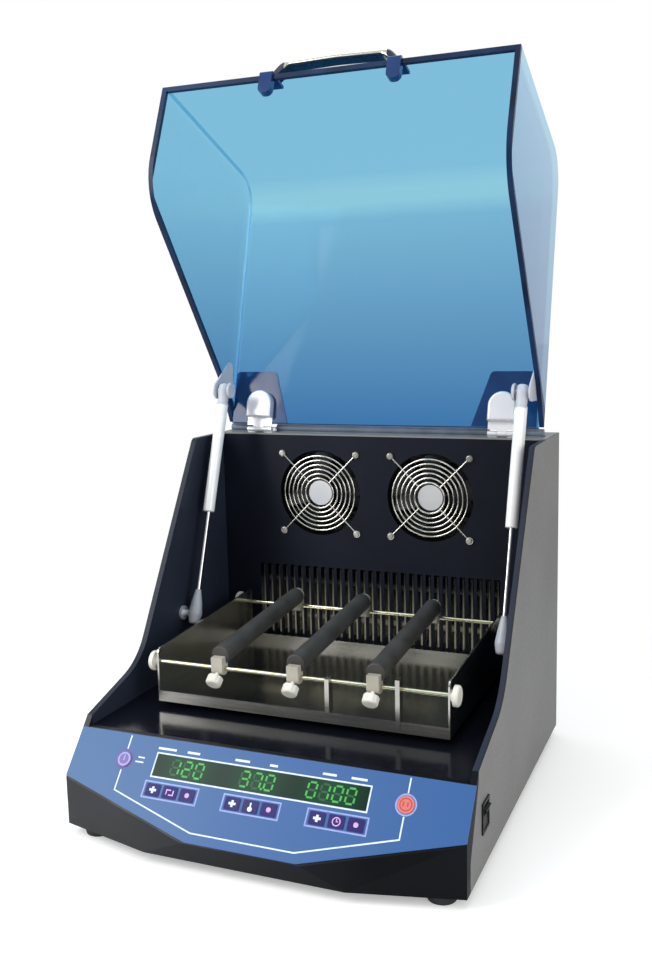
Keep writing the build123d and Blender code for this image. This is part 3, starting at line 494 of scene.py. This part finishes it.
# the panel's film, window and inks; lit segments glow a little, and the unlit segments get a faint painted
# glow
overlayFilm = finish("blueOverlayFilm", overlaySkin)
displayFilm = finish("greenDisplayWindow", windowSkin)
whiteInk = finish("whiteInk", inkSkin, "#c9d8ea", "#e2ecf6")
paleInk = finish("paleBlueInk", inkSkin, "#8796d2", "#98a7dc")
pinkInk = finish("pinkInk", inkSkin, "#c69ad0", "#d8b4de")
purpleInk = finish("purpleInk", inkSkin, "#62498f", "#70589f")
deepRedInk = finish("deepRedInk", inkSkin, "#a8403c", "#b84c46")
digitGlow = finish("litGreenSegments", inkSkin, "#2f8f3a", "#44a548", glow=0.3)
ghostGlow = finish("unlitGreenSegments", inkSkin, "#16492a", "#1b522e", glow=0.1)
print("materials made:", len(bpy.data.materials))

finishes = {
    "base_pan": zincPaint, "feet": footRubber, "rear_panel": greyPaint, "top_cover": greyPaint,
    "left_side_panel": sidePaint, "right_side_panel": sidePaint, "left_liner": linerPaint,
    "right_liner": linerPaint, "chamber_back": chamberPaint, "deck": deckGloss, "front_shell": shellPlastic,
    "control_panel": overlayFilm, "display_window": displayFilm, "keypad": keyPurple,
    "control_board": boardGreen, "power_supply": plateSteel, "drive_motor": machinedSteel,
    "bearing_housings": castAluminium, "drive_belt": beltRubber, "heater": finAluminium,
    "fan_frames": socketBlack, "fan_guards": chromeWire, "screws": screwSteel,
    "fan_rotor_left": fanPlastic, "fan_rotor_right": fanPlastic,
    "hinge_lower_leaves": brightSteel, "strut_wall_studs": brightSteel, "mains_inlet": socketBlack,
    "switch_body": socketBlack, "rocker": socketBlack, "hood_shell": sheetAcrylic,
    "hood_left_cheek": cheekAcrylic, "hood_right_cheek": cheekAcrylic, "hood_gussets": gussetAcrylic,
    "hood_handle": chromeBar, "handle_clips": navyClip, "hinge_upper_leaves": brightSteel,
    "hood_stud_plates": fittingGrey, "strut_tube_left": whiteTube, "strut_tube_right": whiteTube,
    "strut_rod_left": strutRod, "strut_rod_right": strutRod, "tray": stainless,
    "tray_rods": stainlessRod, "rod_knobs": whiteKnob, "rod_posts": stainless,
    "platform_hub": castAluminium, "eccentric_shaft": machinedSteel, "motor_pulley": machinedSteel,
    "support_crank_left": machinedSteel, "support_crank_right": machinedSteel,
    "cross_bar_1": barRubber, "cross_bar_2": barRubber, "cross_bar_3": barRubber,
    "clamp_knob_1": whiteKnob, "clamp_knob_2": whiteKnob, "clamp_knob_3": whiteKnob,
    "power_key": powerPurple, "start_stop_key": startRed,
}
for name, material in finishes.items():
    slots = nodes[name].data.materials
    for index in range(len(slots)):
        slots[index] = material
print("nodes finished:", len(finishes))


def finishPiece(name, mesh, material, body, slotName):
    bmesh.ops.recalc_face_normals(mesh, faces=mesh.faces)
    data = bpy.data.meshes.new(name)
    mesh.to_mesh(data)
    mesh.free()
    data.materials.append(material)
    piece = bpy.data.objects.new(name, data)
    bpy.context.scene.collection.objects.link(piece)
    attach(piece, body)


# the panel's own plane: x to the right, y up the slope, z out of it
panelTop = at(0, -180, 110)
slopeRun, slopeRise = 0.65079, 0.75926
panelPlace = Matrix.Translation(panelTop) @ Matrix((
    (1, 0, 0), (0, slopeRun, -slopeRise), (0, slopeRise, slopeRun))).to_4x4()
sharpestMitre = 0.3
crossing = 0.02  # mm that one stroke lies over another


def addStroke(mesh, points, width, height, closed=False):
    # a flat printed line through the points, mitred at its corners, drawn in mm
    points = [Vector((x, y, 0)) for x, y in points]
    count = len(points)
    sides = []
    for index, point in enumerate(points):
        ways = []
        if closed or index > 0:
            ways.append((point - points[index - 1]).normalized())
        if closed or index < count - 1:
            ways.append((points[(index + 1) % count] - point).normalized())
        middle = sum(ways, Vector()).normalized()
        across = Vector((-middle.y, middle.x, 0))
        square = Vector((-ways[0].y, ways[0].x, 0))
        half = width / 2 / max(sharpestMitre, across.dot(square))
        rise = Vector((0, 0, height * mm))
        sides.append([mesh.verts.new((point + across * half * s) * mm + rise) for s in (-1, 1)])
    following = sides[1:] + (sides[:1] if closed else [])
    for (a, b), (c, d) in zip(sides, following):
        mesh.faces.new((a, c, d, b))


def addRing(mesh, x, y, radius, width, height, steps=40):
    angles = [2 * math.pi * step / steps for step in range(steps)]
    loop = [(radius * math.cos(a) + x, radius * math.sin(a) + y) for a in angles]
    addStroke(mesh, loop, width, height, True)


def addDot(mesh, x, y, radius, height):
    bmesh.ops.create_circle(mesh, cap_ends=True, segments=24, radius=radius * mm,
                            matrix=Matrix.Translation((x * mm, y * mm, height * mm)))


def printPiece(name, mesh, film, ink, body="chassis", slotName="blue_overlay"):
    # printed shapes get a real film's thickness, so that they never flicker against the panel
    top = bmesh.ops.extrude_face_region(mesh, geom=mesh.faces[:])
    bmesh.ops.translate(mesh, vec=(0, 0, film * mm),
                        verts=[v for v in top["geom"] if isinstance(v, bmesh.types.BMVert)])
    mesh.transform(panelPlace)
    finishPiece(name, mesh, ink, body, slotName)


# the white border, broken at the two round keys, and the frame of the window
border = {
    "side": 160, "top": -2, "knee": -62, "chin": (58, -91.5), "line": 1.5, "film": 0.12,
    "keyRow": -28.5, "keyGap": 11.5, "window": (122.2, -41.8, -16.1), "windowLine": 1.6,
}
lines = bmesh.new()
side, chinX, chinY = border["side"], *border["chin"]
aboveKey, belowKey = border["keyRow"] + border["keyGap"], border["keyRow"] - border["keyGap"]
for x in (-side, side):
    addStroke(lines, [(x, border["top"]), (x, aboveKey)], border["line"], 0)
addStroke(lines, [(-side, belowKey), (-side, border["knee"]), (-chinX, chinY),
                  (chinX, chinY), (side, border["knee"]), (side, belowKey)], border["line"], 0)
x, low, high = border["window"]
addStroke(lines, [(-x, low), (x, low), (x, high), (-x, high)], border["windowLine"], 0, True)
printPiece("panel_white_lines", lines, border["film"], whiteInk)

# short plain dashes stand where the captions would be: each by its middle and length, or its two ends
captions = {
    "row": -11, "dashes": ((-112, 22), (-80, 15), (-22, 17), (14, 9), (76, 15), (108, 17)), "tall": 2.4,
    "besideKey": ((-144, -136, -24), (-146, -136, -29)), "small": 1.6, "film": 0.12,
}
dashes = bmesh.new()
for x, length in captions["dashes"]:
    ends = [(x - length / 2, captions["row"]), (x + length / 2, captions["row"])]
    addStroke(dashes, ends, captions["tall"], 0)
for start, end, y in captions["besideKey"]:
    addStroke(dashes, [(start, y), (end, y)], captions["small"], 0)
printPiece("panel_caption_dashes", dashes, captions["film"], whiteInk)

# three key clusters in pale frames, each with a plus, a mark of its own and a plain dot
clusters = {
    "middles": (-94, 0, 94), "frame": (32, -64, -47), "frameLine": 1.6, "frameFilm": 0.1,
    "row": -55.5, "pitch": 20.5, "top": 0.62, "film": 0.08, "bold": 2.6,
}
frames = bmesh.new()
symbols = bmesh.new()
marks = bmesh.new()
wide, low, high = clusters["frame"]
y, top, bold = clusters["row"], clusters["top"], clusters["bold"]
for cluster, x in enumerate(clusters["middles"]):
    corners = [(x - wide, low), (x + wide, low), (x + wide, high), (x - wide, high)]
    addStroke(frames, corners, clusters["frameLine"], 0, True)
    left, right = x - clusters["pitch"], x + clusters["pitch"]
    addStroke(symbols, [(left - 4, y), (left + 4, y)], bold, top)
    addStroke(symbols, [(left, y - 3.5), (left, y + 3.5)], bold, top + crossing)
    addDot(marks, right, y, bold, top)
    if cluster == 0:  # two brackets that chase each other
        addStroke(marks, [(x - 4, y - 2.5), (x - 4, y + 2.5), (x + 1, y + 2.5)], 1.3, top)
        addStroke(marks, [(x + 4, y + 2.5), (x + 4, y - 2.5), (x - 1, y - 2.5)], 1.3, top)
    if cluster == 1:  # a thermometer
        addStroke(symbols, [(x, y - 4), (x, y + 4)], 1.6, top)
        addDot(symbols, x, y - 2.5, bold, top + crossing)
    if cluster == 2:  # a clock
        addRing(marks, x, y, 4, 1.1, top, steps=16)
        addStroke(marks, [(x, y + 3), (x, y), (x + 2, y)], 1.0, top + crossing)
printPiece("key_cluster_frames", frames, clusters["frameFilm"], paleInk)
printPiece("key_white_symbols", symbols, clusters["film"], whiteInk, slotName="purple_keys")
printPiece("key_pink_symbols", marks, clusters["film"], pinkInk, slotName="purple_keys")

# the two round keys: a ring printed on the panel, and on the cap a ring by radius and width and
# bars by their distance from the middle
roundKeys = {
    "start": {
        "x": 160, "ring": (10.15, 1.7), "ringInk": paleInk, "capRing": (6.0, 1.2), "bars": (-2.5, 2),
        "barEnds": (-2, 2.5), "barWidth": 1.4, "barRise": 0, "capInk": deepRedInk,
        "body": "start_button", "slot": "red_key",
    },
    "power": {
        "x": -160, "ring": (9.9, 1.4), "ringInk": purpleInk, "capRing": (6.5, 1.8), "bars": (0,),
        "barEnds": (-1.5, 4.5), "barWidth": 1.6, "barRise": crossing, "capInk": paleInk,
        "body": "power_button", "slot": "purple_key",
    },
}
capTop, capFilm = 1.02, 0.08
for name, key in roundKeys.items():
    x, y = key["x"], border["keyRow"]
    ring = bmesh.new()
    addRing(ring, x, y, *key["ring"], 0)
    printPiece(name + "_key_ring", ring, border["film"], key["ringInk"])
    mark = bmesh.new()
    addRing(mark, x, y, *key["capRing"], capTop)
    low, high = key["barEnds"]
    for aside in key["bars"]:
        ends = [(x + aside, y + low), (x + aside, y + high)]
        addStroke(mark, ends, key["barWidth"], capTop + key["barRise"])
    printPiece(name + "_key_mark", mark, capFilm, key["capInk"], key["body"], key["slot"])

# seven-segment digits behind the window's face
display = {
    "groups": (("120", -82), ("37.0", 0), ("0100", 82)), "row": -29, "pitch": 14, "wide": 9.0,
    "tall": 15.5, "bar": 2.0, "lean": 0.08, "gap": 1.2, "height": 0.62, "film": 0.05,
    "point": (6.5, -36.5, 1.2),
}
segments = {"0": "abcdef", "1": "bc", "2": "abged", "3": "abgcd", "7": "abc"}
lit, unlit = bmesh.new(), bmesh.new()


def addDigit(character, x, y):
    w, h = display["wide"] / 2, display["tall"] / 2
    bars = {"a": ((-w, h), (w, h)), "b": ((w, h), (w, 0)), "c": ((w, 0), (w, -h)),
            "d": ((-w, -h), (w, -h)), "e": ((-w, 0), (-w, -h)), "f": ((-w, h), (-w, 0)),
            "g": ((-w, 0), (w, 0))}
    for key, (start, end) in bars.items():
        start, end = Vector(start), Vector(end)
        pull = (end - start).normalized() * display["gap"]
        line = [(p.x + p.y * display["lean"] + x, p.y + y) for p in (start + pull, end - pull)]
        addStroke(lit if key in segments[character] else unlit, line, display["bar"], display["height"])


for group, middle in display["groups"]:
    digits = group.replace(".", "")
    for index, character in enumerate(digits):
        addDigit(character, middle + display["pitch"] * (index - (len(digits) - 1) / 2), display["row"])
    if "." in group:
        aside, y, radius = display["point"]
        addDot(lit, middle + aside, y, radius, display["height"])
printPiece("display_lit_segments", lit, display["film"], digitGlow, slotName="green_display")
printPiece("display_unlit_segments", unlit, display["film"], ghostGlow, slotName="green_display")
print("panel printed")


# small hardware on the top cover and behind the rear panel

def addBlock(mesh, middle, size):
    # a box of a size in mm round a place
    bmesh.ops.create_cube(mesh, size=1, matrix=Matrix.Translation(middle) @ Matrix.Diagonal(
        (size[0] * mm, size[1] * mm, size[2] * mm, 1)))


# bulb seals on flat flanges, which fill the gap between the top cover and the hood's heel
seal = {
    "spans": ((-147, 147), (-216, -187), (187, 216)), "y": 187, "z": 409.5, "radius": 4.9,
    "coverTop": 404.5, "flangeShift": 3, "flangeWide": 18, "flangeThick": 1.2,
}
seals = bmesh.new()
for low, high in seal["spans"]:
    middle, length = (low + high) / 2, high - low
    lying = Matrix.Translation(at(middle, seal["y"], seal["z"])) @ Matrix.Rotation(math.pi / 2, 4, "Y")
    bmesh.ops.create_cone(seals, cap_ends=True, segments=20, radius1=seal["radius"] * mm,
                          radius2=seal["radius"] * mm, depth=length * mm, matrix=lying)
    foot = at(middle, seal["y"] + seal["flangeShift"], seal["coverTop"] + seal["flangeThick"] / 2)
    addBlock(seals, foot, (length, seal["flangeWide"], seal["flangeThick"]))
finishPiece("hood_seal_strips", seals, sealRubber, "chassis", "belt_rubber")

# dark foam pads under thin strips cover the rear vents from inside as painted shade, so that no daylight
# shows through the fans
ventShadePads = {
    "rows": (300, 350), "pad": (398, 3.8, 20), "padY": 238.2, "strip": (402, 1.2, 4),
    "stripY": 235.9, "stripRise": 9, "round": 0.4,
}
pads = bmesh.new()
for z in ventShadePads["rows"]:
    addBlock(pads, at(0, ventShadePads["padY"], z), ventShadePads["pad"])
    for rise in (-ventShadePads["stripRise"], ventShadePads["stripRise"]):
        addBlock(pads, at(0, ventShadePads["stripY"], z + rise), ventShadePads["strip"])
bmesh.ops.bevel(pads, geom=pads.edges[:], offset=ventShadePads["round"] * mm, segments=2, profile=0.5,
                affect="EDGES", material=-1)
finishPiece("rear_vent_shade_pads", pads, ventShadeFoam, "chassis", "fan_black")

# the lower hinge leaves' screws: low cones with a raised cross
screw = {
    "hingeX": 167, "apart": 11, "y": 204, "z": 406, "radius": 3.2, "height": 1.8, "taper": 0.72,
    "cross": (3.52, 0.5, 0.3),
}
screws = bmesh.new()
long, thin, thick = screw["cross"]
for side in (-1, 1):
    for aside in (-screw["apart"], screw["apart"]):
        x = side * screw["hingeX"] + aside
        bmesh.ops.create_cone(
            screws, cap_ends=True, segments=20, depth=screw["height"] * mm,
            radius1=screw["radius"] * mm, radius2=screw["radius"] * screw["taper"] * mm,
            matrix=Matrix.Translation(at(x, screw["y"], screw["z"] + screw["height"] / 2)))
        for size in ((long, thin, thick), (thin, long, thick)):
            addBlock(screws, at(x, screw["y"], screw["z"] + screw["height"]), size)
finishPiece("cover_leaf_screws", screws, screwSteel, "chassis", "screw_steel")
print("hardware made")

# the photograph's viewpoint, with its angles in degrees
view = {
    "place": at(463.56, -1105.63, 552.66), "azimuth": 22.71, "elevation": 8.48, "roll": -1.30,
    "lens": 39.52, "nearest": 0.01,
}
cameraData = bpy.data.cameras.new("camera")
cameraData.lens = view["lens"]
cameraData.clip_start = view["nearest"]
camera = bpy.data.objects.new("camera", cameraData)
camera.matrix_world = (
    Matrix.Translation(view["place"])
    @ Matrix.Rotation(math.radians(view["azimuth"]), 4, "Z")
    @ Matrix.Rotation(math.radians(90 - view["elevation"]), 4, "X")
    @ Matrix.Rotation(math.radians(view["roll"]), 4, "Z")
)
bpy.context.scene.collection.objects.link(camera)
bpy.context.scene.camera = camera

# a tall soft box at the left front gives the sheen on the left halves, and two weaker ones fill in
lamps = {
    "key": {"place": (-1.46, -1.62, 1.3), "aim": (0, 0, 0.35), "wide": 0.7, "tall": 2.5, "power": 46},
    "fill": {"place": (1.9, -0.9, 0.7), "aim": (0, 0, 0.2), "wide": 1.4, "tall": 1.2, "power": 16},
    "top": {"place": (0.0, 0.1, 2.4), "aim": (0, 0, 0.3), "wide": 1.8, "tall": 1.8, "power": 12},
}
for name, lamp in lamps.items():
    data = bpy.data.lights.new(name, "AREA")
    data.shape = "RECTANGLE"
    data.size = lamp["wide"]
    data.size_y = lamp["tall"]
    data.energy = lamp["power"]
    light = bpy.data.objects.new(name, data)
    light.location = lamp["place"]
    toAim = Vector(lamp["aim"]) - Vector(lamp["place"])
    light.rotation_euler = toAim.to_track_quat("-Z", "Y").to_euler()
    bpy.context.scene.collection.objects.link(light)
print("camera and lamps placed")

# the studio: a level of 1 is white, rises are parts of a unit direction, and reaches are in metres
studio = {
    "horizon": 0.2, "overhead": 0.7, "skyRise": (0.1, 0.42), "sky": "#f4f6f8", "backdrop": 0.72,
    "backRise": (0.4, 0.8), "benchLift": 0.3,
    "paper": ("#f3f3f2", "#f7f7f6"), "farFloor": "#5a5a5c", "paperReach": (0.9, 1.5),
    "whiteReach": (0.42, 0.85), "mirrorReach": (0.8, 2.0), "floorHalf": 20,
}
white = srgb("#ffffff")


def seesBackdrop(tree):
    # 1 for what the camera sees itself or through the hood
    straight = addNode(tree, "LightPath", out="Is Camera Ray")
    through = addNode(tree, "LightPath", out="Is Transmission Ray")
    return addNode(tree, "Math", [straight, through], operation="MAXIMUM")


world = bpy.data.worlds.new("studio")
bpy.context.scene.world = world
world.use_nodes = True
sky = world.node_tree
sky.nodes.clear()
direction = addNode(sky, "TexCoord", out="Generated")
# bright overhead and dim near the horizon, as in a studio
up = addNode(sky, "SeparateXYZ", [direction], "Z")
level = addNode(sky, "MapRange", [up, *studio["skyRise"], studio["horizon"], studio["overhead"]])
# polished faces that look sideways mirror the lit backdrop behind the machine
back = addNode(sky, "SeparateXYZ", [direction], "Y")
behind = addNode(sky, "MapRange", [back, *studio["backRise"], 0, studio["backdrop"]])
glossy = addNode(sky, "LightPath", out="Is Glossy Ray")
mirrored = addNode(sky, "Math", [behind, glossy], operation="MULTIPLY")
level = addNode(sky, "Math", [level, mirrored], operation="ADD")
soft = addNode(sky, "Background", {"Color": srgb(studio["sky"]), "Strength": level})
plain = addNode(sky, "Background", {"Color": white, "Strength": 1.0})
addNode(sky, "OutputWorld", [addNode(sky, "MixShader", [seesBackdrop(sky), soft, plain])])

# the bench top: a pale sheet with soft shadows near the machine, fading into the white backdrop
benchTop, tree, coords = startMaterial("paleBenchTop")
paper = mottled(tree, coords, *studio["paper"], sizeMm=300)[0]
reach = addNode(tree, "VectorMath", [coords], operation="LENGTH")
farOff = addNode(tree, "MapRange", [reach, *studio["paperReach"], 0, 1])
shades = {"Factor": farOff, "A": paper, "B": srgb(studio["farFloor"])}
colour = addNode(tree, "Mix", shades, data_type="RGBA")
matt = {"Base Color": colour, "Roughness": 0.6, "Specular IOR Level": 0.2}
bench = addNode(tree, "BsdfPrincipled", matt)
lift = addNode(tree, "Emission", {"Color": white, "Strength": studio["benchLift"]})
lifted = addNode(tree, "AddShader", [bench, lift])
backdrop = addNode(tree, "Emission", {"Color": white, "Strength": 1.0})
fade = addNode(tree, "MapRange", [reach, *studio["whiteReach"], 0, 1])
faded = addNode(tree, "MixShader", [fade, lifted, backdrop])
back = addNode(tree, "SeparateXYZ", [coords], "Y")
behind = addNode(tree, "MapRange", [back, *studio["mirrorReach"], 0, 1])
glossy = addNode(tree, "LightPath", out="Is Glossy Ray")
mirrored = addNode(tree, "Math", [glossy, behind], operation="MULTIPLY")
glow = addNode(tree, "Emission", {"Color": white, "Strength": studio["backdrop"]})
unseen = addNode(tree, "MixShader", [mirrored, bench, glow])
addNode(tree, "OutputMaterial", [addNode(tree, "MixShader", [seesBackdrop(tree), unseen, faded])])

floorMesh = bmesh.new()
bmesh.ops.create_grid(floorMesh, x_segments=2, y_segments=2, size=studio["floorHalf"])
floorData = bpy.data.meshes.new("floor")
floorMesh.to_mesh(floorData)
floorMesh.free()
floorData.materials.append(benchTop)
floor = bpy.data.objects.new("floor", floorData)
bpy.context.scene.collection.objects.link(floor)

bpy.context.scene.view_settings.view_transform = "Standard"
print("scene ready")
